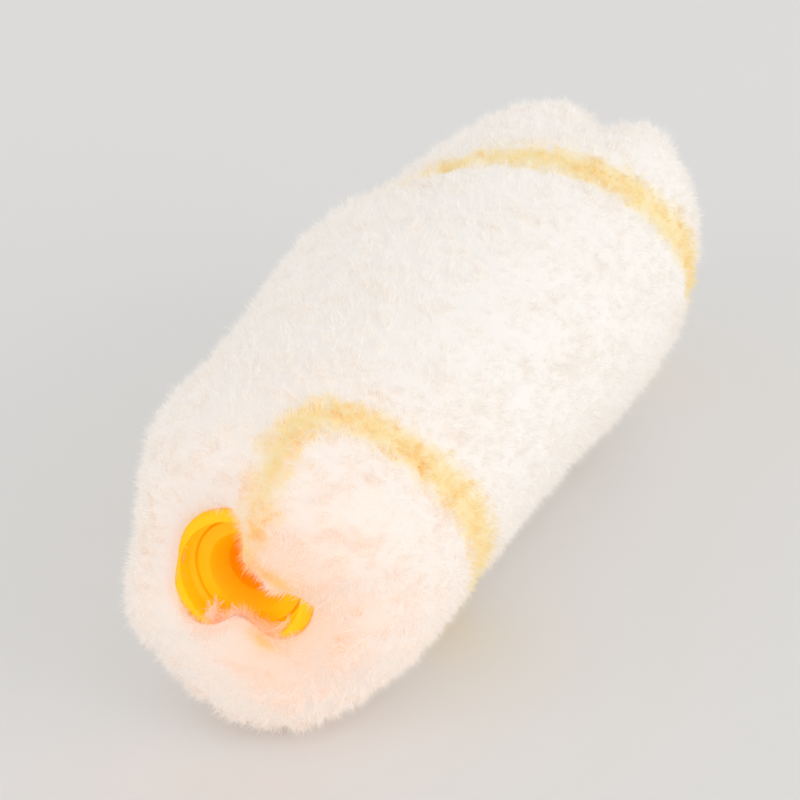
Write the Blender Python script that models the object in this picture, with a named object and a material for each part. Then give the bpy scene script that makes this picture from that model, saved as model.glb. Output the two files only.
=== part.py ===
"""Plush mini roller head with a plastic mouth collar.

The roller's axis is the Y axis, the mouth faces -Y, and the origin is the middle of the plush.
Distances "from the mouth" run along +Y from the front of the plush.
"""
import math

import bmesh
import bpy
from mathutils import Matrix

# Driving dimensions, in metres
LENGTH = 0.100
NAP_RADIUS = 0.0189
PILE_ROOT_RADIUS = 0.0087
FACE_ROUNDING = 0.0080
DOME_ROUNDING = 0.0110

COLLAR_RADIUS = 0.0081
COLLAR_FACE = 0.0020
COLLAR_THICKNESS = 0.0022
DISH_DEPTH = 0.0017
DISH_CHAMFER = 0.0004
BARREL_RADIUS = 0.0064
BARREL_END = 0.0240
BARREL_CHAMFER = 0.0006

TUBE_OUTER_RADIUS = 0.0077
TUBE_INNER_RADIUS = 0.0067
TUBE_START = 0.0045
TUBE_END = 0.0830

PLUG_ENGAGEMENT = 0.0080
PLUG_SOCKET_DEPTH = 0.0020
PLUG_FLANGE = 0.0014
PLUG_POCKET_RADIUS = 0.0045
PLUG_FLOOR = 0.0016

ROD_RADIUS = 0.0030
SOCKET_RADIUS = ROD_RADIUS + 0.0001
SLEEVE_RADIUS = 0.0043
SLEEVE_HEAD_RADIUS = 0.0057
SLEEVE_START = 0.0042
SLEEVE_HEAD_LENGTH = 0.0022
SLEEVE_END = 0.0760
COUNTERSINK = 0.0013
COUNTERSINK_DEPTH = 0.0018
CLIP_GROOVE_RADIUS = 0.0037
CLIP_GROOVE_WIDTH = 0.0016
RING_THICKNESS = 0.0010
RING_OPENING = math.radians(60.0)

BACKING_INNER_RADIUS = TUBE_OUTER_RADIUS + 0.0002
BACKING_OUTER_RADIUS = 0.0085
GATHER_START = TUBE_END + 0.0003
GATHER_WAIST = 0.0012
GATHER_HEIGHT = 0.0036
GATHER_PLEAT_DEPTH = 0.0004

STRIPE_PITCH = 0.0646
STRIPE_WIDTH = 0.0056
STRIPE_START_ANGLE = math.radians(-26.0)
SEAM_WIDTH = 0.0004
CUTTER_RADIUS = 1.1 * NAP_RADIUS

GAP = 0.0003
MERGE = 0.00001
STEPS = 48


def material(name, color, roughness, metallic=0.0):
    """A Principled material of one plain colour."""
    made = bpy.data.materials.new(name)
    made.use_nodes = True
    shader = made.node_tree.nodes["Principled BSDF"]
    shader.inputs["Base Color"].default_value = (*color, 1.0)
    shader.inputs["Roughness"].default_value = roughness
    shader.inputs["Metallic"].default_value = metallic
    return made


def make_object(name, bm, surface=None, parent=None):
    """Turn a bmesh into a smooth-shaded object of its own."""
    bmesh.ops.remove_doubles(bm, verts=bm.verts, dist=MERGE)
    bmesh.ops.recalc_face_normals(bm, faces=bm.faces)
    mesh = bpy.data.meshes.new(name)
    bm.to_mesh(mesh)
    bm.free()
    mesh.shade_smooth()
    mesh.set_sharp_from_angle(angle=math.radians(35.0))
    made = bpy.data.objects.new(name, mesh)
    bpy.context.scene.collection.objects.link(made)
    if surface is not None:
        mesh.materials.append(surface)
    if parent is not None:
        made.parent = parent
    return made


def make_cutter(name, bm):
    """A closed shape that only cuts others."""
    cutter = make_object(name, bm)
    cutter.hide_render = True
    cutter.display_type = "WIRE"
    return cutter


def arc(center_radius, center_along, radius, start, end, points):
    """Outline points on an arc; 0 degrees points outwards and 90 degrees away from the mouth."""
    angles = [math.radians(start + (end - start) * i / (points - 1)) for i in range(points)]
    return [
        (center_radius + radius * math.cos(a), center_along + radius * math.sin(a))
        for a in angles
    ]


def turned(outline, closed=True):
    """Spin an outline of (radius, distance from the mouth) points once about the roller's axis.

    A closed outline makes a ring. An open one starts and ends on the axis.
    """
    bm = bmesh.new()
    points = [bm.verts.new((0.0, along - LENGTH / 2, radius)) for radius, along in outline]
    following = points[1:] + points[:1] if closed else points[1:]
    edges = [bm.edges.new(pair) for pair in zip(points, following)]
    bmesh.ops.spin(
        bm, geom=points + edges, cent=(0, 0, 0), axis=(0, 1, 0),
        angle=2 * math.pi, steps=STEPS, use_merge=True,
    )
    return bm


def helical_band(width, inner_radius, outer_radius, shift=0.0):
    """A band that winds round the axis at the fabric's pitch, past both ends of the roller."""
    lead_in = math.radians(60.0)
    step = 2 * math.pi / STEPS
    turn = 2 * math.pi * LENGTH / STRIPE_PITCH + 2 * lead_in
    steps = math.ceil(turn / step)
    start = STRIPE_START_ANGLE + shift - lead_in
    start_along = -STRIPE_PITCH * lead_in / (2 * math.pi) - LENGTH / 2
    bm = bmesh.new()
    corners = [
        bm.verts.new((0.0, start_along + side * width / 2, radius))
        for radius, side in (
            (inner_radius, -1), (outer_radius, -1), (outer_radius, 1), (inner_radius, 1),
        )
    ]
    section = bm.faces.new(corners)
    bmesh.ops.rotate(bm, verts=corners, cent=(0, 0, 0), matrix=Matrix.Rotation(start, 3, "Y"))
    bmesh.ops.spin(
        bm, geom=[section], cent=(0, 0, 0), axis=(0, 1, 0), angle=steps * step, steps=steps,
        dvec=(0, STRIPE_PITCH / STEPS, 0),
    )
    bmesh.ops.triangulate(bm, faces=bm.faces, quad_method="FIXED")
    return bm


def boolean(target, cutter, operation):
    """Leave a Boolean modifier on an object."""
    cut = target.modifiers.new(operation.lower(), "BOOLEAN")
    cut.operation = operation
    cut.solver = "EXACT"
    cut.object = cutter


def pile_body():
    """The outer shape of the plush: a cup, open round the collar and closed over the far end."""
    flat_radius = 0.0098
    dome_flat_radius = 0.0045
    dome_start = GATHER_START + GATHER_WAIST
    root_dome_height = GATHER_HEIGHT + GATHER_PLEAT_DEPTH + GAP
    outline = [(PILE_ROOT_RADIUS, COLLAR_FACE), (flat_radius, 0.0003), (0.0107, 0.0)]
    outline += arc(NAP_RADIUS - FACE_ROUNDING, FACE_ROUNDING, FACE_ROUNDING, -84, 0, 7)
    outline += [(NAP_RADIUS, LENGTH * share) for share in (0.3, 0.5, 0.7)]
    outline += arc(NAP_RADIUS - DOME_ROUNDING, LENGTH - DOME_ROUNDING, DOME_ROUNDING, 0, 84, 8)
    outline += [(dome_flat_radius, LENGTH), (0.0022, LENGTH - 0.0008), (0.0, LENGTH - 0.0012)]
    outline += [
        (PILE_ROOT_RADIUS * math.sin(a), dome_start + root_dome_height * math.cos(a))
        for a in (math.radians(90.0 * i / 6) for i in range(7))
    ]
    outline += [(PILE_ROOT_RADIUS, LENGTH * share) for share in (0.6, 0.3)]
    return turned_pile(outline)


def turned_pile(outline):
    """Spin the pile's outline, which leaves the axis and comes back to it."""
    on_axis = [i for i, (radius, _) in enumerate(outline) if radius == 0.0]
    ordered = outline[on_axis[1]:] + outline[:on_axis[0] + 1]
    return turned(ordered, closed=False)


def make_collar(body, yellow):
    """Moulded mouth collar: round rim, dished face, recess for the sleeve's head, and a barrel."""
    rim = COLLAR_THICKNESS / 2
    back = COLLAR_FACE + COLLAR_THICKNESS
    recess_radius = SLEEVE_HEAD_RADIUS + GAP
    recess_floor = SLEEVE_START + SLEEVE_HEAD_LENGTH + GAP
    hub_radius = SLEEVE_RADIUS + GAP
    dish_end = COLLAR_FACE + DISH_DEPTH
    outline = arc(COLLAR_RADIUS - rim, COLLAR_FACE + rim, rim, 70, -110, 9)
    outline += [
        (recess_radius + DISH_CHAMFER, dish_end), (recess_radius, dish_end + DISH_CHAMFER),
        (recess_radius, recess_floor),
        (hub_radius, recess_floor), (hub_radius, BARREL_END),
        (BARREL_RADIUS - BARREL_CHAMFER, BARREL_END), (BARREL_RADIUS, BARREL_END - BARREL_CHAMFER),
        (BARREL_RADIUS, back),
    ]
    return make_object("front_collar", turned(outline), yellow, body)


def make_axle_sleeve(body, orange):
    """Bearing sleeve that stays on the handle's rod: countersunk head, tube and clip groove."""
    groove_start = BARREL_END + GAP
    groove_end = groove_start + CLIP_GROOVE_WIDTH
    head_end = SLEEVE_START + SLEEVE_HEAD_LENGTH
    outline = [
        (SOCKET_RADIUS + COUNTERSINK, SLEEVE_START), (SLEEVE_HEAD_RADIUS, SLEEVE_START),
        (SLEEVE_HEAD_RADIUS, head_end), (SLEEVE_RADIUS, head_end),
        (SLEEVE_RADIUS, groove_start), (CLIP_GROOVE_RADIUS, groove_start),
        (CLIP_GROOVE_RADIUS, groove_end), (SLEEVE_RADIUS, groove_end),
        (SLEEVE_RADIUS, SLEEVE_END), (SOCKET_RADIUS, SLEEVE_END),
        (SOCKET_RADIUS, SLEEVE_START + COUNTERSINK_DEPTH),
    ]
    return make_object("axle_sleeve", turned(outline), orange, body)


def make_retaining_ring(body, steel):
    """Open spring ring in the sleeve's groove, which keeps the roller from sliding off."""
    start = BARREL_END + 2 * GAP
    end = start + RING_THICKNESS
    inner, outer = CLIP_GROOVE_RADIUS + GAP, BARREL_RADIUS - GAP
    steps = 28
    bm = bmesh.new()
    corners = [
        bm.verts.new((0.0, along - LENGTH / 2, radius))
        for radius, along in ((inner, start), (outer, start), (outer, end), (inner, end))
    ]
    section = bm.faces.new(corners)
    bmesh.ops.rotate(
        bm, verts=corners, cent=(0, 0, 0), matrix=Matrix.Rotation(RING_OPENING / 2, 3, "Y"),
    )
    bmesh.ops.spin(
        bm, geom=[section], cent=(0, 0, 0), axis=(0, 1, 0),
        angle=2 * math.pi - RING_OPENING, steps=steps,
    )
    return make_object("retaining_ring", bm, steel, body)


def make_core_tube(body, plastic):
    """Plain core tube, pressed over the collar's barrel and the rear plug."""
    outline = [
        (TUBE_INNER_RADIUS, TUBE_START), (TUBE_OUTER_RADIUS, TUBE_START),
        (TUBE_OUTER_RADIUS, TUBE_END), (TUBE_INNER_RADIUS, TUBE_END),
    ]
    return make_object("core_tube", turned(outline), plastic, body)


def make_rear_plug(body, plastic):
    """Plug in the far end of the tube: its blind hub holds the tail of the axle sleeve."""
    start = SLEEVE_END - PLUG_ENGAGEMENT
    socket_end = SLEEVE_END + PLUG_SOCKET_DEPTH
    flange_start = GATHER_START
    flange_end = flange_start + PLUG_FLANGE
    pocket_floor = socket_end + PLUG_FLOOR
    outline = [
        (0.0, socket_end), (SLEEVE_RADIUS + GAP, socket_end), (SLEEVE_RADIUS + GAP, start),
        (BARREL_RADIUS - BARREL_CHAMFER, start), (BARREL_RADIUS, start + BARREL_CHAMFER),
        (BARREL_RADIUS, flange_start), (TUBE_OUTER_RADIUS, flange_start),
        (TUBE_OUTER_RADIUS, flange_end), (PLUG_POCKET_RADIUS, flange_end),
        (PLUG_POCKET_RADIUS, pocket_floor), (0.0, pocket_floor),
    ]
    return make_object("rear_plug", turned(outline, closed=False), plastic, body)


def make_backing(body, knit):
    """Knitted backing: one strip wound along the tube, its edges meeting in a helical seam."""
    outline = [
        (BACKING_INNER_RADIUS, TUBE_START), (BACKING_OUTER_RADIUS, TUBE_START),
        (BACKING_OUTER_RADIUS, TUBE_END), (BACKING_INNER_RADIUS, TUBE_END),
    ]
    backing = make_object("backing_strip", turned(outline), knit, body)
    half_turn = math.pi
    seam = make_cutter(
        "backing_seam_cutter",
        helical_band(SEAM_WIDTH, TUBE_INNER_RADIUS, CUTTER_RADIUS, half_turn),
    )
    boolean(backing, seam, "DIFFERENCE")
    return backing


def make_rear_gather(body, knit):
    """The end of the knitted backing, drawn together over the rear plug in soft pleats."""
    thickness = BACKING_OUTER_RADIUS - BACKING_INNER_RADIUS
    dome_start = GATHER_START + GATHER_WAIST
    inner_height = GATHER_HEIGHT - thickness
    pleats = 8
    angles = [math.radians(90.0 * i / 6) for i in range(7)]
    outside = [
        (BACKING_OUTER_RADIUS * math.cos(a), dome_start + GATHER_HEIGHT * math.sin(a))
        for a in angles
    ]
    inside = [
        (BACKING_INNER_RADIUS * math.cos(a), dome_start + inner_height * math.sin(a))
        for a in reversed(angles)
    ]
    outline = [(0.0, inside[0][1])] + inside[1:] + [(BACKING_INNER_RADIUS, GATHER_START)]
    outline += [(BACKING_OUTER_RADIUS, GATHER_START)] + outside[:-1] + [(0.0, outside[-1][1])]
    bm = turned(outline, closed=False)
    for vert in bm.verts:
        radius = math.hypot(vert.co.x, vert.co.z)
        share = math.sin(math.pi * min(1.0, radius / BACKING_INNER_RADIUS))
        angle = math.atan2(vert.co.x, vert.co.z)
        vert.co.y += GATHER_PLEAT_DEPTH * share * math.cos(pleats * angle)
    return make_object("rear_gather", bm, knit, body)


def make_pile(body, white, yellow):
    """The plush: a white pile with one yellow stripe, which winds round it with the fabric."""
    slot = make_cutter(
        "stripe_slot_cutter",
        helical_band(STRIPE_WIDTH + 2 * GAP, TUBE_INNER_RADIUS, CUTTER_RADIUS),
    )
    band = make_cutter(
        "stripe_band_cutter", helical_band(STRIPE_WIDTH, TUBE_INNER_RADIUS, CUTTER_RADIUS),
    )
    white_pile = make_object("white_pile", pile_body(), white, body)
    boolean(white_pile, slot, "DIFFERENCE")
    stripe_pile = make_object("stripe_pile", pile_body(), yellow, body)
    boolean(stripe_pile, band, "INTERSECT")
    return white_pile, stripe_pile


def make_body(name):
    """An empty on the spin axis, which carries the pieces that move together."""
    empty = bpy.data.objects.new(name, None)
    bpy.context.scene.collection.objects.link(empty)
    return empty


def main():
    for old in list(bpy.data.objects):
        bpy.data.objects.remove(old)

    axle = make_body("axle")
    roller = make_body("roller")

    yellow_plastic = material("yellow_plastic", (0.98, 0.42, 0.02), 0.35)
    orange_plastic = material("orange_plastic", (0.95, 0.30, 0.01), 0.40)
    white_plastic = material("white_plastic", (0.80, 0.79, 0.76), 0.50)
    spring_steel = material("spring_steel", (0.55, 0.56, 0.58), 0.30, 1.0)
    backing_knit = material("backing_knit", (0.78, 0.76, 0.70), 0.90)
    white_plush = material("white_plush", (0.93, 0.89, 0.84), 0.95)
    yellow_plush = material("yellow_plush", (0.98, 0.72, 0.30), 0.95)

    make_axle_sleeve(axle, orange_plastic)
    make_retaining_ring(axle, spring_steel)
    make_collar(roller, yellow_plastic)
    make_core_tube(roller, white_plastic)
    make_rear_plug(roller, white_plastic)
    make_backing(roller, backing_knit)
    make_rear_gather(roller, backing_knit)
    make_pile(roller, white_plush, yellow_plush)


main()
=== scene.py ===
"""Looks for the plush roller head: fibres, knitted ground, moulded plastic, studio and camera.

Places on the fluff are given about the spin axis: the angle turns from +Z towards +X, and along
runs from the front of the plush at the mouth towards the domed end.
"""
import math

import bpy
import numpy as np
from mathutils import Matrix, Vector, noise


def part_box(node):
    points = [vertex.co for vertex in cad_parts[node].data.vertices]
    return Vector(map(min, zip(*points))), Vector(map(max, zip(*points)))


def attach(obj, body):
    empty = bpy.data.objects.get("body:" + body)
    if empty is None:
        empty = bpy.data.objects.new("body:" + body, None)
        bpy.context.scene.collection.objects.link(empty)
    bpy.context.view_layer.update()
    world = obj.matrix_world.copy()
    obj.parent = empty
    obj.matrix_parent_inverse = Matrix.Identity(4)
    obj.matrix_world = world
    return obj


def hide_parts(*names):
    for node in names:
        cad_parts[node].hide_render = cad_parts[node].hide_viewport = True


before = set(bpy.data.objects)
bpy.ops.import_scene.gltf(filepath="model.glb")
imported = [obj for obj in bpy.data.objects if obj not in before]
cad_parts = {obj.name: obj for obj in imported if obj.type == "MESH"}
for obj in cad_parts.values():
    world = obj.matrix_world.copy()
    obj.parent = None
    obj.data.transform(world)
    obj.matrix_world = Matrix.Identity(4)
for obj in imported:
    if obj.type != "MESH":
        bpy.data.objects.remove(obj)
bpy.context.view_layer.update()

MM = 0.001
SEED = 20
rng = np.random.default_rng(SEED)
noise.seed_set(SEED)

# Sizes that the frame gives
PILE_LOW, PILE_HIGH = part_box("white_pile")
COLLAR_LOW, COLLAR_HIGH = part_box("front_collar")
BACKING_LOW, BACKING_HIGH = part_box("backing_strip")
GATHER_LOW, GATHER_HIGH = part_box("rear_gather")
FRONT = PILE_LOW.y
NAP_RADIUS = PILE_HIGH.x
LENGTH = PILE_HIGH.y - FRONT
COLLAR_RADIUS = COLLAR_HIGH.x
ROOT_RADIUS = BACKING_HIGH.x + 0.2 * MM
ROOT_START = BACKING_LOW.y - FRONT
ROOT_END = BACKING_HIGH.y - FRONT
GATHER_TOP = GATHER_HIGH.y - FRONT

# Outlines of the fluff's outer surface as (radius, along) in mm, from the mouth to the dome's middle
BODY_OUTLINE = [
    (18.7, 14.0), (18.9, 30.0), (18.9, 55.0), (18.6, 72.0), (17.6, 83.0), (15.0, 92.5), (10.4, 98.2),
    (5.2, 100.0), (0.0, 99.4),
]
OPEN_OUTLINE = [
    (7.7, 3.0), (8.05, 2.3), (8.8, 1.1), (11.2, 0.2), (14.0, 0.8), (16.6, 3.8), (18.2, 8.4),
] + BODY_OUTLINE
LOBE_OUTLINE = [
    (6.8, 1.5), (4.6, 1.0), (4.0, -0.2), (7.6, -1.9), (13.0, -1.3), (17.2, 2.8), (18.7, 8.0),
] + BODY_OUTLINE
LIP_OUTLINE = [
    (6.6, 2.2), (4.4, 2.2), (3.6, 1.6), (8.6, -0.4), (14.0, 0.6), (16.6, 3.8), (18.2, 8.4),
] + BODY_OUTLINE
STATIONS = 220
# Where the pile hangs over the collar, as (start and end angle, softness of the ends, and the share of
# the outline that stays hidden inside the edge)
LOBE_PLACE = (8, 84, 16, 0.028)
LIP_PLACE = (142, 214, 34, 0.025)
EDGE_START = 0.003
# Share of the outline, from its edge, over which the hanging pile thins out
THIN_SHARE = 0.09
# Thin places over the collar, as (angle and radius on the front, tilt, half length, half width), in mm
SHOW_THROUGH = [
    (22, 8.9, -25, 1.1, 0.5), (63, 6.4, -28, 1.7, 0.6), (52, 5.4, -30, 1.0, 0.45),
    (154, 6.4, -20, 1.0, 0.4),
]

# Yellow stripe: a helix round the body, whose start bends towards the collar on the front
STRIPE_PITCH = 64.6 * MM
STRIPE_WIDTH = 5.0 * MM
STRIPE_ZERO = -26.0
HELIX_FROM, HELIX_TO = 13.0, 97.0
# The start of the stripe as (angle, along, loss of half width), in mm
STRIPE_START = [
    (24, -1.8, 2.0), (20, -1.2, 1.7), (18, 0.0, 1.3), (16, 1.6, 1.0), (15, 3.4, 0.8), (15, 5.2, 0.6),
    (18, 7.8, 0.5), (24, 10.0, 0.3), (33, 11.4, 0.1), (46, 13.0, 0.0),
]

# Wandering of the stripe's edge, as (size, grain of the wandering, noise seed)
STRIPE_RAGGED = ((1.1 * MM, 1.5 * MM, 8), (0.6 * MM, 0.6 * MM, 9))
FIBRE_STRIPE_SOFTNESS = 2.2 * MM
GROUND_STRIPE_SOFTNESS = 2.6 * MM
# The pile lies lower in the stripe, once the stripe has left the front edge
STRIPE_DEPTH = 0.45 * MM
GROOVE_FROM, GROOVE_RAMP = 10 * MM, 6 * MM

# The pile stands fuller on the left, ahead of the rear stripe
FULL_HEIGHT = 2.2 * MM
FULL_ANGLE, FULL_SPREAD = -55, 34
FULL_FROM, FULL_RAMP = 30 * MM, 26 * MM
FULL_PAST_STRIPE, FULL_SLOPE = 3 * MM, 9 * MM
# Uneven places, as (angle in degrees, along, outward height, half width in degrees, half length), in mm
UNEVEN = [
    (-82, 5, -4.0, 25, 7), (-128, 3, 0.7, 22, 6), (-50, 21, -0.9, 22, 5), (-54, 13, 0.7, 16, 4),
    (172, 4, 1.8, 20, 6), (-44, 76, -0.4, 16, 7), (-20, 58, -0.9, 14, 8), (12, 96, -3.6, 8, 7),
    (36, 94, 1.6, 12, 6), (60, 94, 0.4, 12, 6), (123, 46, -1.3, 20, 16),
]

# Clumps of fibres. Most end this far under the outline, and only stray fibres reach it.
CLUMPS = 26000
SETTLE = 0.3 * MM
# Extra clumps along the edges over the collar, as (start and end angle) of the two places
EDGE_CLUMPS = 900
EDGE_ANGLES = ((0, 92), (124, 240))
EDGE_SHIFT = (-0.3 * MM, 0.7 * MM)
# How clumps lean sideways and rise, as (size, grain, noise seed)
CLUMP_LEAN = ((0.8 * MM, 9 * MM, 1), (0.5 * MM, 2.6 * MM, 2))
CLUMP_RISE = (0.5 * MM, 2.8 * MM, 4)
CLUMP_RISE_RANDOM = 0.10 * MM

FIBRES_PER_CLUMP = 18
FIBRE_WIDTH = 0.08 * MM
FIBRE_LENGTH = 2.2 * MM
# Sideways spread of the fibres' ends in a clump, what a thin edge adds to it, and their rise, in mm
FIBRE_SPREAD, THIN_FIBRE_SPREAD = 0.34, 0.4
FIBRE_RISE, STRAY_RISE = 0.14, 0.9
STRAY_SHARE = 0.20
# Direction in which neighbouring clumps are combed, and how steeply their fibres stand
COMB_GRAIN, COMB_TOGETHER, COMB_RANDOM = 6 * MM, 0.7, 0.4
SLOPE_LOW, SLOPE_RANGE, STRAY_SLOPE = 0.9, 1.2, 2.4

# Thick ground of the pile: its depth under the fibres' ends, and bumps as (size, grain, noise seed, axis)
GROUND_DEPTH = 0.55 * MM
GROUND_BUMPS = ((0.08 * MM, 2.2 * MM, 5, 0), (0.06 * MM, 0.9 * MM, 6, 1))
GROUND_RINGS, GROUND_SECTORS, WALL_RINGS = 230, 340, 5
# Depth of the dome, over which the roots pass from the tube to the gathered end
DOME_DEPTH = 12 * MM

# Knitted backing
KNIT_COLUMNS = 76
KNIT_ROW = 0.8 * MM

# Faint rings on the moulded plastic, and the radius inside which the sleeve's bore is painted a deeper
# orange, as painted shade of the narrow bore
LATHE_RINGS = 2600.0
BORE_RADIUS = 3.1 * MM

# Painted light: the translucent collar's orange light, painted on the pile beside it as peach and a faint
# emission, mostly on one side
PAINTED_GLOW_COLOR = (1.0, 0.50, 0.27, 1)
PAINTED_GLOW_STRENGTH = 0.08
GLOW_ANGLE, GLOW_SPREAD, GLOW_ALL_ROUND = 102, 62, 0.12
GLOW_FROM_RADIUS, GLOW_FROM_ALONG = 0.6 * COLLAR_RADIUS, 2 * MM
GLOW_NEAR, GLOW_NEAR_REACH = 0.9, 5 * MM
GLOW_FAR, GLOW_FAR_REACH = 0.45, 13 * MM


def bump(distance, width):
    """A smooth hump of height 1 with the given half width."""
    return np.exp(-0.5 * (np.asarray(distance) / width) ** 2)


def ease(x):
    """A smooth step from 0 to 1 over x from 0 to 1."""
    x = np.clip(x, 0, 1)
    return x * x * (3 - 2 * x)


def turn_from(angle, center):
    """Signed degrees from a centre angle, wrapped to half a turn each way."""
    return (np.degrees(angle) - center + 180) % 360 - 180


def plateau(angle, start, end, softness):
    """1 between two angles in degrees, falling smoothly to 0 over softness degrees."""
    beyond = np.abs(turn_from(angle, (start + end) / 2)) - (end - start) / 2
    return ease(0.5 - 0.5 * beyond / softness)


def smooth_outline(points):
    """Catmull-Rom curve through an outline, at evenly spaced stations, in metres."""
    p = np.array(points) * MM
    p = np.vstack([2 * p[0] - p[1], p, (-p[-2][0], p[-2][1])])
    u = np.linspace(0, len(points) - 1, 3000)
    i = np.minimum(u.astype(int), len(points) - 2)
    f = (u - i)[:, None]
    a, b, c, d = p[i], p[i + 1], p[i + 2], p[i + 3]
    curve = 0.5 * (
        2 * b + (c - a) * f + (2 * a - 5 * b + 4 * c - d) * f**2 + (3 * b - a - 3 * c + d) * f**3
    )
    run = np.concatenate([[0], np.cumsum(np.linalg.norm(np.diff(curve, axis=0), axis=1))])
    even = np.linspace(0, run[-1], STATIONS)
    return np.stack([np.interp(even, run, curve[:, k]) for k in (0, 1)], 1)


def at_station(table, share):
    """Linear reading of a station table at shares from 0 to 1."""
    u = np.clip(share, 0, 1) * (STATIONS - 1)
    i = np.minimum(u.astype(int), STATIONS - 2)
    f = (u - i)[:, None]
    return table[i] * (1 - f) + table[i + 1] * f


def stripe_line():
    """Centre line of the stripe as (degrees, along, loss of half width), with lengths in metres."""
    along = np.arange(HELIX_FROM, HELIX_TO, 0.5)
    helix = np.stack([STRIPE_ZERO + 360 * along * MM / STRIPE_PITCH, along, np.zeros(len(along))], 1)
    start = np.array(STRIPE_START, float)
    u = np.linspace(0, len(start) - 1, 60)
    begin = np.stack([np.interp(u, np.arange(len(start)), start[:, k]) for k in (0, 1, 2)], 1)
    return np.vstack([begin, helix]) * (1, MM, MM)


def stripe_distance(angle, radius, along):
    """Distance over the surface from the stripe's centre line."""
    best = np.full(len(angle), 1.0)
    for degrees, place, narrow in STRIPE_LINE:
        across = np.radians(turn_from(angle, degrees)) * radius
        best = np.minimum(best, np.hypot(across, along - place) + narrow)
    return best


def ahead_of_rear_stripe(angle, along):
    """Distance along the axis from the rear turn of the stripe, positive towards the mouth."""
    return STRIPE_PITCH * (1 + (turn_from(angle, 0) - STRIPE_ZERO) / 360) - along


def overhang(angle, place):
    """How far the pile takes a lobe's outline at an angle, from 0 to 1."""
    start, end, softness, _ = place
    return plateau(angle, start, end, softness)


def edge_share(angle):
    """Share of the outline at which the pile's visible front edge lies."""
    lobe, lip = [place[3] * overhang(angle, place) for place in (LOBE_PLACE, LIP_PLACE)]
    return EDGE_START + lobe + lip


OPEN = smooth_outline(OPEN_OUTLINE)
LOBE = smooth_outline(LOBE_OUTLINE)
LIP = smooth_outline(LIP_OUTLINE)
STRIPE_LINE = stripe_line()


def fluff_surface(share, angle):
    """(radius, along) of the fluff's outer surface."""
    lobe = overhang(angle, LOBE_PLACE)[:, None]
    lip = overhang(angle, LIP_PLACE)[:, None]
    place = at_station(OPEN, share) * (1 - lobe - lip)
    place = place + at_station(LOBE, share) * lobe + at_station(LIP, share) * lip
    radius, along = place[:, 0], place[:, 1]
    side = ease(radius / NAP_RADIUS)
    ahead = ahead_of_rear_stripe(angle, along)
    left = bump(turn_from(angle, FULL_ANGLE), FULL_SPREAD)
    full = left * ease((ahead + FULL_PAST_STRIPE) / FULL_SLOPE) * ease((along - FULL_FROM) / FULL_RAMP)
    nearest = (ahead + STRIPE_PITCH / 2) % STRIPE_PITCH - STRIPE_PITCH / 2
    groove = bump(nearest, STRIPE_WIDTH / 2) * ease((along - GROOVE_FROM) / GROOVE_RAMP)
    outward = FULL_HEIGHT * full - STRIPE_DEPTH * groove
    for degrees, place_along, height, width, run in UNEVEN:
        near = bump(turn_from(angle, degrees), width) * bump(along - place_along * MM, run * MM)
        outward = outward + height * MM * near
    return radius + side * outward, along


def root_place(outer_radius, outer_along):
    """(radius, along) on the knitted ground where the fibres of a spot on the surface stand."""
    edge = 1 * MM
    body = np.clip((outer_along - ROOT_START - edge) / (LENGTH - DOME_DEPTH - edge - ROOT_START), 0, 1)
    along = ROOT_START + (ROOT_END - ROOT_START) * body
    over = np.clip((outer_along - (LENGTH - DOME_DEPTH)) / DOME_DEPTH, 0, 1)
    dome = np.clip(outer_radius / NAP_RADIUS, 0, 1)
    radius = ROOT_RADIUS * (1 - over) + ROOT_RADIUS * dome * over
    along = along * (1 - over) + (ROOT_END + (GATHER_TOP - ROOT_END) * (1 - dome**2)) * over
    return radius, along


def points_at(angle, radius, along):
    """Points in the frame for places given as angle, radius and along."""
    return np.stack([radius * np.sin(angle), FRONT + along, radius * np.cos(angle)], 1)


def unit(v):
    """Vectors of length 1."""
    return v / np.maximum(np.linalg.norm(v, axis=1, keepdims=True), 1e-12)


def surface_frame(share, angle):
    """Points of the fluff's outer surface with their outward normals."""
    step = 0.002
    here = points_at(angle, *fluff_surface(share, angle))
    down = points_at(angle, *fluff_surface(share + step, angle))
    up = points_at(angle, *fluff_surface(share - step, angle))
    left = points_at(angle + step, *fluff_surface(share, angle + step))
    right = points_at(angle - step, *fluff_surface(share, angle - step))
    normal = unit(np.cross(left - right, up - down))
    inside = points_at(angle, np.full(len(angle), 9 * MM), np.clip(here[:, 1] - FRONT, 6 * MM, 88 * MM))
    flip = np.sign(np.sum((here - inside) * normal, 1))
    return here, normal * flip[:, None]


def wander(points, scale, seed):
    """A smooth random vector for each point."""
    shift = Vector((seed * 13.7, seed * 7.3, seed * 3.1))
    return np.array([noise.noise_vector(Vector(p) / scale + shift) for p in points])


# Meshes


def new_mesh(name, verts, faces):
    """A mesh object from arrays of points and of triangles or quads."""
    mesh = bpy.data.meshes.new(name)
    mesh.vertices.add(len(verts))
    mesh.vertices.foreach_set("co", verts.astype(np.float32).ravel())
    sides = faces.shape[1]
    mesh.loops.add(faces.size)
    mesh.loops.foreach_set("vertex_index", faces.astype(np.int32).ravel())
    mesh.polygons.add(len(faces))
    mesh.polygons.foreach_set("loop_start", np.arange(0, faces.size, sides, dtype=np.int32))
    mesh.update(calc_edges=True)
    mesh.validate()
    mesh.shade_smooth()
    made = bpy.data.objects.new(name, mesh)
    bpy.context.scene.collection.objects.link(made)
    return made


def add_values(obj, name, values):
    """A number for each vertex, which the material reads by name."""
    attribute = obj.data.attributes.new(name, "FLOAT", "POINT")
    attribute.data.foreach_set("value", values.astype(np.float32))


def polar(points):
    """(angle, radius, along) of points in the frame."""
    radius = np.hypot(points[:, 0], points[:, 2])
    return np.arctan2(points[:, 0], points[:, 2]), radius, points[:, 1] - FRONT


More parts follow.
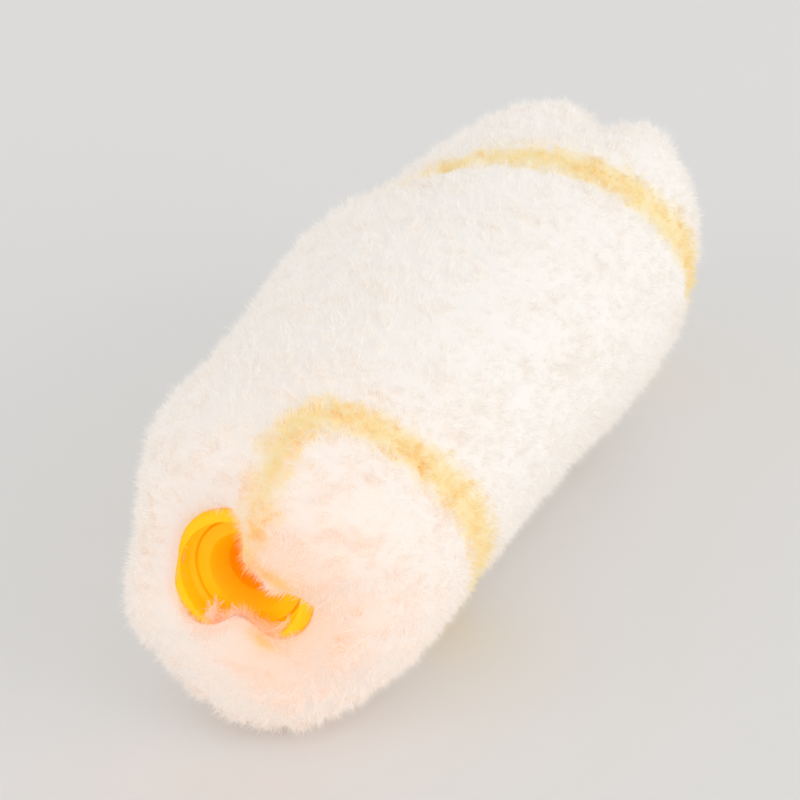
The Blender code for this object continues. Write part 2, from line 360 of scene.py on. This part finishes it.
def add_bake_map(obj, points):
    """A cylinder unwrap, so that baking does not have to cut the fibres apart."""
    angle, radius, along = polar(points)
    layer = obj.data.uv_layers.new(name="OFBake")
    corners = np.empty(len(obj.data.loops), np.int32)
    obj.data.loops.foreach_get("vertex_index", corners)
    ends = 10 * MM
    height = along + np.where(along > LENGTH / 2, 1, -1) * ends * (1 - np.clip(radius / NAP_RADIUS, 0, 1))
    u = angle[corners] / (2 * math.pi) + 0.5
    v = (height[corners] + ends + 4 * MM) / (LENGTH + 2 * ends + 8 * MM)
    layer.data.foreach_set("uv", np.stack([u, np.clip(v, 0, 1)], 1).astype(np.float32).ravel())


def show_through(points):
    """Where the thin pile in front of the collar lets its orange through, 0 to 1."""
    angle, radius, along = polar(points)
    x, z = radius * np.sin(angle), radius * np.cos(angle)
    amount = np.zeros(len(points))
    for degrees, place, tilt, length, width in SHOW_THROUGH:
        dx = x - place * MM * math.sin(math.radians(degrees))
        dz = z - place * MM * math.cos(math.radians(degrees))
        c, s = math.cos(math.radians(tilt)), math.sin(math.radians(tilt))
        near = bump(dx * c + dz * s, length * MM) * bump(dz * c - dx * s, width * MM)
        amount = np.maximum(amount, near)
    return amount * ease((5 * MM - along) / (2 * MM))


def collar_glow(points):
    """How much of the collar's orange light reaches each point of the pile, 0 to 1."""
    angle, radius, along = polar(points)
    reach = np.hypot(
        np.maximum(radius - GLOW_FROM_RADIUS, 0), np.maximum(along - GLOW_FROM_ALONG, 0),
    )
    side = GLOW_ALL_ROUND + (1 - GLOW_ALL_ROUND) * bump(turn_from(angle, GLOW_ANGLE), GLOW_SPREAD)
    fall = GLOW_NEAR * bump(reach, GLOW_NEAR_REACH) + GLOW_FAR * bump(reach, GLOW_FAR_REACH)
    return np.clip(side * fall, 0, 1)


# Plush


def lobe_share(share, angle):
    """1 at the edges that hang over the collar, falling to 0 where the pile is thick again."""
    hanging = overhang(angle, LOBE_PLACE) + overhang(angle, LIP_PLACE)
    return hanging * ease((THIN_SHARE - share) / THIN_SHARE)


def grow_clumps():
    """Clumps spread evenly over the fluff: share, angle, surface normal, root and tip of each."""
    grid = np.linspace(0, 1, 400)
    place = at_station(OPEN, grid)
    run = np.linalg.norm(np.diff(place, axis=0), axis=1)
    area = np.concatenate([[0], np.cumsum(run * (place[1:, 0] + place[:-1, 0]))])
    share = np.interp(rng.random(CLUMPS), area / area[-1], grid)
    angle = rng.random(CLUMPS) * 2 * math.pi - math.pi
    at_edge = np.arange(CLUMPS) < EDGE_CLUMPS
    share[at_edge] = rng.uniform(0.0, 0.012, EDGE_CLUMPS)
    over_lobe = rng.random(EDGE_CLUMPS) < 0.5
    over_lobe_angle, over_lip_angle = [rng.uniform(*ends, EDGE_CLUMPS) for ends in EDGE_ANGLES]
    angle[at_edge] = np.radians(np.where(over_lobe, over_lobe_angle, over_lip_angle))
    start = edge_share(angle)
    share = start + (1 - start) * share
    spot, normal = surface_frame(share, angle)
    root = points_at(angle, *root_place(*fluff_surface(share, angle)))
    loose = ease(share / 0.04 + lobe_share(share, angle))
    coarse, fine = [size * wander(spot, scale, seed) for size, scale, seed in CLUMP_LEAN]
    lean = coarse + fine
    lean -= normal * np.sum(lean * normal, 1)[:, None]
    size, scale, seed = CLUMP_RISE
    rise = CLUMP_RISE_RANDOM * rng.standard_normal(CLUMPS) + size * wander(spot, scale, seed)[:, 0] - SETTLE
    tip = spot + (lean + normal * rise[:, None]) * loose[:, None]
    inward = points_at(angle, np.full(CLUMPS, -1.0), np.full(CLUMPS, -FRONT))
    tip += inward * (at_edge * rng.uniform(*EDGE_SHIFT, CLUMPS))[:, None]
    return share, angle, normal, root, tip


def grow_fibres(share, angle, normal, root, clump_tip):
    """Foot, tip and width direction of each fibre, and its clump's number."""
    count = CLUMPS * FIBRES_PER_CLUMP
    owner = np.repeat(np.arange(CLUMPS), FIBRES_PER_CLUMP)
    outward = normal[owner]
    stray = rng.random(count) < STRAY_SHARE
    spread = rng.standard_normal((count, 3))
    spread -= outward * np.sum(spread * outward, 1)[:, None]
    rise = (FIBRE_RISE * rng.standard_normal(count) + STRAY_RISE * stray * rng.random(count)) * MM
    thin = lobe_share(share, angle)[owner][:, None]
    wide = FIBRE_SPREAD + THIN_FIBRE_SPREAD * thin
    tip = clump_tip[owner] + spread * wide * MM + outward * rise[:, None]
    comb = COMB_TOGETHER * wander(clump_tip, COMB_GRAIN, 3) + COMB_RANDOM * rng.standard_normal((CLUMPS, 3))
    comb -= normal * np.sum(comb * normal, 1)[:, None]
    slope = np.where(stray, STRAY_SLOPE, SLOPE_LOW + SLOPE_RANGE * rng.random(count))
    lying = unit(unit(comb)[owner] + 0.35 * spread + outward * slope[:, None])
    fringe = unit(unit(clump_tip - root)[owner] + 0.22 * spread)
    way = unit(lying * (1 - thin) + fringe * thin)
    length = FIBRE_LENGTH * (0.75 + 0.5 * rng.random(count))
    side = unit(np.cross(way, outward + 0.6 * rng.standard_normal((count, 3))))
    return owner, tip - way * length[:, None], tip, side


def blades(foot, tip, side, width):
    """Vertices and triangles of fibres, each one narrow triangle."""
    half = side * (width * 0.5)[:, None]
    verts = np.stack([foot - half, foot + half, tip], 1).reshape(-1, 3)
    return verts, np.arange(len(verts)).reshape(-1, 3)


def stripe_amount(points, softness):
    """1 inside the yellow stripe and 0 outside it, with a ragged edge where the fibres cross over."""
    coarse, fine = [size * wander(points, scale, seed)[:, 0] for size, scale, seed in STRIPE_RAGGED]
    ragged = coarse + fine
    inside = STRIPE_WIDTH / 2 - stripe_distance(*polar(points)) + ragged
    return np.clip(0.5 + inside / softness, 0, 1)


def ground_mesh():
    """The thick part of the pile under the fibres' free ends, closed by a wall over the backing."""
    sectors = GROUND_SECTORS
    angle = np.linspace(-math.pi, math.pi, sectors, endpoint=False)
    u, a = [g.ravel() for g in np.meshgrid(np.linspace(0, 1, GROUND_RINGS), angle, indexing="ij")]
    start = edge_share(a)
    spot, normal = surface_frame(start + (1 - start) * u, a)
    coarse, fine = [
        size * wander(spot, scale, seed)[:, axis] for size, scale, seed, axis in GROUND_BUMPS
    ]
    bumps = coarse + fine
    depth = (SETTLE + GROUND_DEPTH + bumps) * np.clip(u * 25, 0, 1)
    outer = spot - normal * depth[:, None]
    edge = polar(outer[:sectors])
    wall = []
    for k in range(1, WALL_RINGS):
        deep = (k - 1) / (WALL_RINGS - 2)
        along = edge[2] * (1 - deep) + (GATHER_TOP + 0.5 * MM) * deep
        wall.append(points_at(angle, np.full(sectors, ROOT_RADIUS * (1 - deep**8)), along))
    points = np.concatenate(wall[::-1] + [outer])
    index = np.arange(len(points)).reshape(-1, sectors)
    side = np.roll(index, -1, axis=1)
    faces = np.stack([index[:-1], side[:-1], side[1:], index[1:]], -1).reshape(-1, 4)
    return new_mesh("pile_ground", points, faces), points


# Materials


def node(tree, kind, inputs=(), **settings):
    """A new shader node with its settings, and with its inputs linked or filled in."""
    made = tree.nodes.new("ShaderNode" + kind)
    for key, value in settings.items():
        setattr(made, key, value)
    for key, value in dict(inputs).items():
        if isinstance(value, bpy.types.NodeSocket):
            tree.links.new(value, made.inputs[key])
        else:
            made.inputs[key].default_value = value
    return made


def mix(tree, amount, low, high):
    """A colour between two, by an amount from 0 to 1."""
    low, high = [(*c, 1) if isinstance(c, tuple) else c for c in (low, high)]
    return node(tree, "Mix", {0: amount, 6: low, 7: high}, data_type="RGBA").outputs[2]


def grain(tree, scale, detail=2.0, stretch=(1, 1, 1)):
    """Procedural noise in the object's own place, with its grain size given in metres."""
    place = node(tree, "TexCoord").outputs["Object"]
    place = node(tree, "Mapping", {0: place, 3: stretch}).outputs[0]
    return node(tree, "TexNoise", {"Vector": place, "Scale": 1 / scale, "Detail": detail}).outputs[0]


def surface(name, roughness, metallic=0.0):
    """A material with its node tree and its shader."""
    made = bpy.data.materials.new(name)
    made.use_nodes = True
    shader = made.node_tree.nodes["Principled BSDF"]
    shader.inputs["Roughness"].default_value = roughness
    shader.inputs["Metallic"].default_value = metallic
    return made, made.node_tree, shader


def fill(tree, shader, **sockets):
    """Links or sets the shader's sockets, whose names are written with _ for a space."""
    for key, value in sockets.items():
        socket = shader.inputs[key.replace("_", " ")]
        if isinstance(value, bpy.types.NodeSocket):
            tree.links.new(value, socket)
        else:
            socket.default_value = value


def relief(tree, height, distance, strength=1.0):
    """A bump from a height, with its full depth in metres."""
    return node(tree, "Bump", {"Height": height, "Distance": distance, "Strength": strength}).outputs[0]


def plush_material(name, whites, yellows, peach, orange, bumpy):
    """Pile colour: white or yellow by stripe, with two tones of each, and painted light from the collar as
    peach colour and a faint glow.
    """
    made, tree, shader = surface(name, 0.85)
    stripe, tone, glow = [
        node(tree, "Attribute", attribute_name=n).outputs["Fac"] for n in ("stripe", "tone", "glow")
    ]
    white = mix(tree, tone, *whites)
    yellow = mix(tree, tone, *yellows)
    # Painted light: peach or orange colour and a faint orange emission where the collar's light falls
    both = mix(tree, stripe, mix(tree, glow, white, peach), mix(tree, glow, yellow, orange))
    lit = node(tree, "Math", {0: glow, 1: PAINTED_GLOW_STRENGTH}, operation="MULTIPLY").outputs[0]
    fill(
        tree, shader, Base_Color=both, Sheen_Weight=0.2, Sheen_Roughness=0.6,
        Emission_Color=PAINTED_GLOW_COLOR, Emission_Strength=lit,
    )
    if bumpy:
        fill(tree, shader, Normal=relief(tree, grain(tree, 0.35 * MM, 4.0), 0.03 * MM))
    return made


def moulded_material(name, dark, light, roughness, clear=0.2, glow=0.0, bore=None):
    """Moulded plastic: clouding, grain, faint lathe rings, a glow as painted light, and painted shade as a
    deeper bore colour.
    """
    made, tree, shader = surface(name, roughness)
    cloud = grain(tree, 3 * MM, 3.0)
    rough = node(
        tree, "MapRange", {0: grain(tree, 0.6 * MM, 4.0), 3: roughness - 0.07, 4: roughness + 0.09},
    )
    place = node(tree, "TexCoord").outputs["Object"]
    rings = node(
        tree, "TexWave", {"Vector": place, "Scale": LATHE_RINGS, "Distortion": 0.4},
        wave_type="RINGS", rings_direction="Y",
    ).outputs["Fac"]
    height = node(tree, "Math", {0: rings, 1: grain(tree, 0.25 * MM, 3.0)}, operation="ADD").outputs[0]
    color = mix(tree, cloud, dark, light)
    # Painted shade: inside the bore the colour turns a deeper orange, for the shade and the orange light
    # bouncing in it
    if bore:
        across = node(tree, "Mapping", {0: place, 3: (1, 0, 1)}).outputs[0]
        across = node(tree, "VectorMath", {0: across}, operation="LENGTH").outputs["Value"]
        outside = node(tree, "MapRange", {0: across, 1: BORE_RADIUS, 2: 1.5 * BORE_RADIUS}).outputs[0]
        color = mix(tree, outside, bore, color)
    fill(
        tree, shader, Base_Color=color, Roughness=rough.outputs[0],
        Normal=relief(tree, height, 0.006 * MM), Subsurface_Weight=clear, Subsurface_Scale=3 * MM,
        Subsurface_Radius=(1.0, 0.5, 0.12), Specular_IOR_Level=0.2,
        # Painted light: the plastic gives off light in its own colour, though it is no lamp
        Emission_Color=color, Emission_Strength=glow,
    )
    return made


def steel_material():
    """Drawn spring wire: fine scratches along the wire and a slight blue-grey temper colour."""
    made, tree, shader = surface("spring_steel", 0.3, metallic=1.0)
    scratches = grain(tree, 0.15 * MM, 5.0, (1, 8, 1))
    rough = node(tree, "MapRange", {0: scratches, 3: 0.2, 4: 0.45}).outputs[0]
    color = mix(tree, grain(tree, 2 * MM), (0.42, 0.43, 0.46), (0.62, 0.61, 0.60))
    fill(tree, shader, Base_Color=color, Roughness=rough, Normal=relief(tree, scratches, 0.01 * MM))
    return made


def knit_material():
    """Knitted backing: columns of loops round the roller and rows of loops along it."""
    made, tree, shader = surface("backing_knit", 0.9)
    place = node(tree, "TexCoord").outputs["Object"]
    x, y, z = node(tree, "SeparateXYZ", {0: place}).outputs
    turn = node(tree, "Math", {0: x, 1: z}, operation="ARCTAN2").outputs[0]
    column = node(tree, "Math", {0: turn, 1: KNIT_COLUMNS / 2}, operation="MULTIPLY").outputs[0]
    row = node(tree, "Math", {0: y, 1: math.pi / KNIT_ROW}, operation="MULTIPLY").outputs[0]
    waves = [node(tree, "Math", {0: w}, operation="SINE").outputs[0] for w in (column, row)]
    waves = [node(tree, "Math", {0: w}, operation="ABSOLUTE").outputs[0] for w in waves]
    loops = node(tree, "Math", {0: waves[0], 1: waves[1]}, operation="MULTIPLY").outputs[0]
    fuzz = node(tree, "Math", {0: loops, 1: grain(tree, 0.12 * MM, 4.0)}, operation="ADD").outputs[0]
    color = mix(tree, fuzz, (0.66, 0.60, 0.50), (0.90, 0.86, 0.78))
    fill(tree, shader, Base_Color=color, Normal=relief(tree, fuzz, 0.12 * MM), Sheen_Weight=0.2)
    return made


def dress(obj, material):
    """Gives an object one material in place of those it has."""
    obj.data.materials.clear()
    obj.data.materials.append(material)


def finish_fluff(obj, points, stripe, tone, material, slot, *nodes):
    """Values, unwrap, material, body and CAD nodes of one piece of the pile."""
    through = show_through(points)
    add_values(obj, "stripe", np.maximum(stripe, through))
    add_values(obj, "tone", tone)
    add_values(obj, "glow", np.maximum(collar_glow(points), through))
    add_bake_map(obj, points)
    dress(obj, material)
    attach(obj, "roller")
    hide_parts(*nodes)


ground_material = plush_material(
    "plush_ground",
    whites=((0.975, 0.93, 0.885), (0.985, 0.945, 0.905)),
    yellows=((0.99, 0.81, 0.42), (0.995, 0.85, 0.50)),
    peach=(0.995, 0.74, 0.58), orange=(0.995, 0.62, 0.20), bumpy=True,
)
fibre_material = plush_material(
    "plush_fibres",
    whites=((0.982, 0.952, 0.918), (0.994, 0.974, 0.95)),
    yellows=((0.995, 0.855, 0.50), (0.998, 0.895, 0.60)),
    peach=(0.995, 0.87, 0.78), orange=(0.995, 0.72, 0.32), bumpy=False,
)
ground, ground_points = ground_mesh()
ground_stripe = stripe_amount(ground_points, GROUND_STRIPE_SOFTNESS)
finish_fluff(
    ground, ground_points, ground_stripe, np.ones(len(ground_points)),
    ground_material, "white_plush", "white_pile", "stripe_pile",
)

share, angle, normal, root, clump_tip = grow_clumps()
owner, foot, tip, side = grow_fibres(share, angle, normal, root, clump_tip)
clump_place = points_at(angle, *fluff_surface(share, angle))
in_stripe = rng.random(len(owner)) < stripe_amount(clump_place, FIBRE_STRIPE_SOFTNESS)[owner]
clump_tone = rng.random(CLUMPS)
width = FIBRE_WIDTH * (0.6 + 0.8 * rng.random(len(owner)))
part = np.where(in_stripe, 0, 1 + np.digitize(share[owner], [0.24, 0.44, 0.62]))
for number, name in enumerate((
    "stripe_fibres", "front_fibres", "near_fibres", "far_fibres", "rear_fibres",
)):
    slot, cad_node = ("white_plush", "white_pile") if number else ("yellow_plush", "stripe_pile")
    chosen = part == number
    verts, faces = blades(foot[chosen], tip[chosen], side[chosen], width[chosen])
    fur = new_mesh(name, verts, faces)
    tone = 0.6 * clump_tone[owner[chosen]] + 0.4 * rng.random(chosen.sum())
    stripe = np.full(len(verts), float(number == 0))
    finish_fluff(fur, verts, stripe, np.repeat(tone, 3), fibre_material, slot, cad_node)
    fur.data.shade_flat()

# The last number of the yellow and the sleeve plastic is painted light: a glow, though they are no lamps
yellow = moulded_material("yellow_plastic", (0.985, 0.53, 0.004), (0.99, 0.58, 0.008), 0.32, 0.5, 0.22)
# The sleeve's plastic is painted a little more orange than the collar's, and deeper orange in its bore:
# painted shade
orange = moulded_material(
    "orange_plastic", (0.985, 0.50, 0.002), (0.99, 0.55, 0.005), 0.36, 0.5, 0.20, (0.98, 0.41, 0.0),
)
white = moulded_material("white_plastic", (0.74, 0.73, 0.70), (0.80, 0.79, 0.76), 0.4)
knit = knit_material()
for name, material in (
    ("front_collar", yellow), ("axle_sleeve", orange), ("retaining_ring", steel_material()),
    ("core_tube", white), ("rear_plug", white), ("backing_strip", knit), ("rear_gather", knit),
):
    dress(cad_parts[name], material)

# Studio
HORIZON_LIGHT, ZENITH_LIGHT = 1.20, 0.59
FLOOR_HALF = 2.0
corners = [(-FLOOR_HALF, -FLOOR_HALF, 0), (FLOOR_HALF, -FLOOR_HALF, 0)]
corners += [(FLOOR_HALF, FLOOR_HALF, 0), (-FLOOR_HALF, FLOOR_HALF, 0)]
floor_mesh = bpy.data.meshes.new("floor")
floor_mesh.from_pydata(corners, [], [(0, 1, 2, 3)])
floor = bpy.data.objects.new("floor", floor_mesh)
floor.location.z = PILE_LOW.z
bpy.context.scene.collection.objects.link(floor)
floor_material, floor_tree, floor_shader = surface("floor", 0.45)
fill(floor_tree, floor_shader, Base_Color=mix(
    floor_tree, grain(floor_tree, 0.25), (0.79, 0.787, 0.783), (0.82, 0.817, 0.813),
))
dress(floor, floor_material)

world = bpy.data.worlds.new("studio")
bpy.context.scene.world = world
world.use_nodes = True
sky = node(world.node_tree, "TexCoord").outputs["Generated"]
height = node(world.node_tree, "SeparateXYZ", {0: sky}).outputs[2]
glow = node(world.node_tree, "MapRange", {0: height, 3: HORIZON_LIGHT, 4: ZENITH_LIGHT}).outputs[0]
background = world.node_tree.nodes["Background"]
background.inputs["Color"].default_value = (1.0, 0.99, 0.98, 1)
world.node_tree.links.new(glow, background.inputs["Strength"])


def area_light(name, place, size, power):
    """A square soft light aimed at the roller."""
    data = bpy.data.lights.new(name, "AREA")
    data.size = size
    data.energy = power
    lamp = bpy.data.objects.new(name, data)
    lamp.location = place
    lamp.rotation_euler = Vector(place).to_track_quat("Z", "Y").to_euler()
    bpy.context.scene.collection.objects.link(lamp)


area_light("key", (0.93, -0.05, 0.32), 0.7, 1.9)
area_light("fill", (-0.35, -0.82, 0.40), 0.7, 0.9)

# Camera
AZIMUTH, ELEVATION = math.radians(23.5), math.radians(27.6)
DISTANCE = 25 * NAP_RADIUS
FOCAL_PER_WIDTH = 4391 / 800
camera_data = bpy.data.cameras.new("camera")
camera_data.sensor_width = 36
camera_data.lens = 36 * FOCAL_PER_WIDTH
camera_data.shift_x = -0.042
camera_data.shift_y = -0.0306
camera_data.clip_start = 0.01
camera = bpy.data.objects.new("camera", camera_data)
back = Vector((
    math.sin(AZIMUTH) * math.cos(ELEVATION), -math.cos(AZIMUTH) * math.cos(ELEVATION),
    math.sin(ELEVATION),
))
camera.rotation_euler = back.to_track_quat("Z", "Y").to_euler()
camera.location = back * DISTANCE
bpy.context.scene.collection.objects.link(camera)
bpy.context.scene.camera = camera
bpy.context.scene.view_settings.view_transform = "Standard"
# Light has to bounce many times between fibres, or the plush turns grey
bpy.context.scene.cycles.max_bounces = 16
bpy.context.scene.cycles.diffuse_bounces = 14
